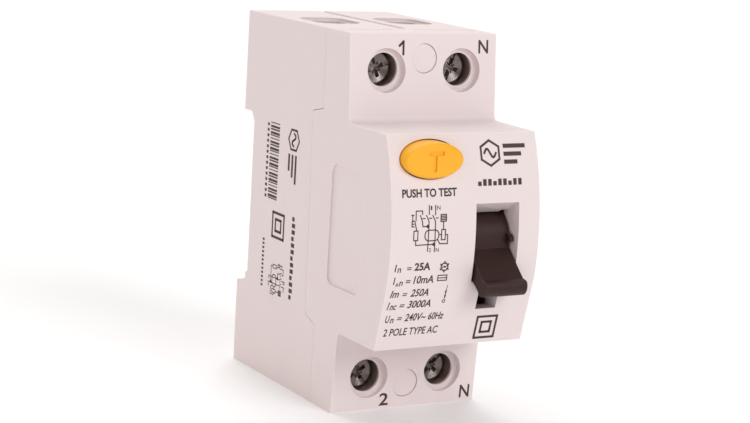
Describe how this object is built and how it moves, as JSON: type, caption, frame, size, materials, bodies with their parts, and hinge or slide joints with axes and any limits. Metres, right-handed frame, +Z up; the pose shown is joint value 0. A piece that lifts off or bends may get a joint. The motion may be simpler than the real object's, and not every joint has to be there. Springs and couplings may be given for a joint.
{
  "type": "residual current device",
  "caption": "Two-module residual current device for a 35 mm rail, with a toggle lever, a push-to-test button and screw terminals behind a stepped light grey housing.",
  "frame": {"origin": "middle of the rail seat wall: halfway across the width, on the wall that meets the rail, level with the middle of the 45 mm nose", "axes": "+Y from the front towards the rail, +Z up along the height, +X across the two modules to the right seen from the front"},
  "size_m": [0.036, 0.0748, 0.0818],
  "materials": {
    "housing_plastic": "fine moulded grain, warm light grey",
    "toggle_plastic": "dark brown-black moulding",
    "button_plastic": "orange moulding",
    "screw_steel": "zinc plated, turned",
    "cage_steel": "zinc plated strip",
    "sleeve_steel": "dark passivated strip",
    "spring_steel": "drawn wire",
    "copper": "copper alloy strip",
    "dark_moulding": "dark grey moulding",
    "latch_plastic": "grey-brown moulding",
    "core_alloy": "coated ring",
    "winding_enamel": "enamelled wire",
    "relay_plastic": "blue moulding",
    "resistor_lacquer": "lacquered body"
  },
  "bodies": {
    "housing": {"rear_base": "housing_plastic", "front_cover": "housing_plastic", "cover_plug_upper": "housing_plastic", "cover_plug_lower": "housing_plastic", "cover_screw_upper": "screw_steel", "cover_screw_lower": "screw_steel", "toggle_axle": "screw_steel", "carrier_shaft": "screw_steel", "upper_tongue_left": "copper", "lower_tongue_left": "copper", "primary_conductor_left": "copper", "upper_tongue_right": "copper", "lower_tongue_right": "copper", "primary_conductor_right": "copper", "well_sleeve_upper_left": "sleeve_steel", "well_sleeve_upper_right": "sleeve_steel", "well_sleeve_lower_left": "sleeve_steel", "well_sleeve_lower_right": "sleeve_steel", "sensing_core": "core_alloy", "secondary_winding": "winding_enamel", "trip_relay": "relay_plastic", "latch_pin": "screw_steel", "test_peg": "screw_steel", "test_contact": "copper", "test_resistor": "resistor_lacquer", "rail_clip_spring": "spring_steel"},
    "toggle": {"toggle_lever": "toggle_plastic", "toggle_spring": "spring_steel"},
    "link": {"toggle_link": "screw_steel"},
    "carrier": {"contact_carrier": "dark_moulding", "moving_contact_left": "copper", "moving_contact_right": "copper"},
    "button": {"test_button": "button_plastic"},
    "test_leg": {"test_spring": "spring_steel"},
    "plunger": {"trip_plunger": "spring_steel"},
    "latch": {"latch_lever": "latch_plastic"},
    "clip": {"rail_clip": "dark_moulding"},
    "screw_upper_left": {"terminal_screw_upper_left": "screw_steel"},
    "cage_upper_left": {"terminal_cage_upper_left": "cage_steel"},
    "screw_upper_right": {"terminal_screw_upper_right": "screw_steel"},
    "cage_upper_right": {"terminal_cage_upper_right": "cage_steel"},
    "screw_lower_left": {"terminal_screw_lower_left": "screw_steel"},
    "cage_lower_left": {"terminal_cage_lower_left": "cage_steel"},
    "screw_lower_right": {"terminal_screw_lower_right": "screw_steel"},
    "cage_lower_right": {"terminal_cage_lower_right": "cage_steel"}
  },
  "joints": [
    {"name": "toggle_pivot", "type": "hinge", "parent": "housing", "child": "toggle", "pos_m": [0.0075, -0.0547, -0.0018], "axis": [-1, 0, 0], "range_deg": [0, 60]},
    {"name": "link_pivot", "type": "hinge", "parent": "toggle", "child": "link", "pos_m": [-0.0004, -0.0572, 0.00253], "axis": [-1, 0, 0], "range_deg": [-60.1, 0]},
    {"name": "carrier_pivot", "type": "hinge", "parent": "housing", "child": "carrier", "pos_m": [0, -0.031, -0.003], "axis": [-1, 0, 0], "range_deg": [0, 20.1]},
    {"name": "test_button_push", "type": "slide", "parent": "housing", "child": "button", "axis": [0, 1, 0], "range_m": [0, 0.002], "stiffness_N_per_m": 400, "springref_m": -0.002},
    {"name": "test_leg_pivot", "type": "hinge", "parent": "housing", "child": "test_leg", "pos_m": [-0.00845, -0.048, 0.008], "axis": [-1, 0, 0], "range_deg": [0, 12.1]},
    {"name": "plunger_push", "type": "slide", "parent": "housing", "child": "plunger", "axis": [0, 0, 1], "range_m": [0, 0.0015]},
    {"name": "latch_pivot", "type": "hinge", "parent": "housing", "child": "latch", "pos_m": [-0.0097, -0.038, 0], "axis": [-1, 0, 0], "range_deg": [0, 9.6]},
    {"name": "rail_clip_slide", "type": "slide", "parent": "housing", "child": "clip", "axis": [0, 0, -1], "range_m": [0, 0.004], "stiffness_N_per_m": 800, "springref_m": -0.004, "deforming": ["rail_clip_spring"]},
    {"name": "screw_turn_upper_left", "type": "hinge", "parent": "housing", "child": "screw_upper_left", "pos_m": [-0.00925, -0.0386, 0.0334], "axis": [0, 1, 0], "range_deg": [0, 2161]},
    {"name": "cage_lift_upper_left", "type": "slide", "parent": "housing", "child": "cage_upper_left", "axis": [0, -1, 0], "range_m": [0, 0.0048]},
    {"name": "screw_turn_upper_right", "type": "hinge", "parent": "housing", "child": "screw_upper_right", "pos_m": [0.00925, -0.0386, 0.0334], "axis": [0, 1, 0], "range_deg": [0, 2161]},
    {"name": "cage_lift_upper_right", "type": "slide", "parent": "housing", "child": "cage_upper_right", "axis": [0, -1, 0], "range_m": [0, 0.0048]},
    {"name": "screw_turn_lower_left", "type": "hinge", "parent": "housing", "child": "screw_lower_left", "pos_m": [-0.00925, -0.0386, -0.0332], "axis": [0, 1, 0], "range_deg": [0, 2161]},
    {"name": "cage_lift_lower_left", "type": "slide", "parent": "housing", "child": "cage_lower_left", "axis": [0, -1, 0], "range_m": [0, 0.0048]},
    {"name": "screw_turn_lower_right", "type": "hinge", "parent": "housing", "child": "screw_lower_right", "pos_m": [0.00925, -0.0386, -0.0332], "axis": [0, 1, 0], "range_deg": [0, 2161]},
    {"name": "cage_lift_lower_right", "type": "slide", "parent": "housing", "child": "cage_lower_right", "axis": [0, -1, 0], "range_m": [0, 0.0048]}
  ],
  "couplings": [
    {"joint": "link_pivot", "follows": "toggle_pivot", "ratio": -1},
    {"joint": "carrier_pivot", "follows": "toggle_pivot", "ratio": 0.33333},
    {"joint": "test_leg_pivot", "follows": "test_button_push", "rad_per_m": 105},
    {"joint": "latch_pivot", "follows": "plunger_push", "rad_per_m": 111},
    {"joint": "screw_turn_upper_left", "follows": "cage_lift_upper_left", "rad_per_m": 7854},
    {"joint": "screw_turn_upper_right", "follows": "cage_lift_upper_right", "rad_per_m": 7854},
    {"joint": "screw_turn_lower_left", "follows": "cage_lift_lower_left", "rad_per_m": 7854},
    {"joint": "screw_turn_lower_right", "follows": "cage_lift_lower_right", "rad_per_m": 7854}
  ]
}
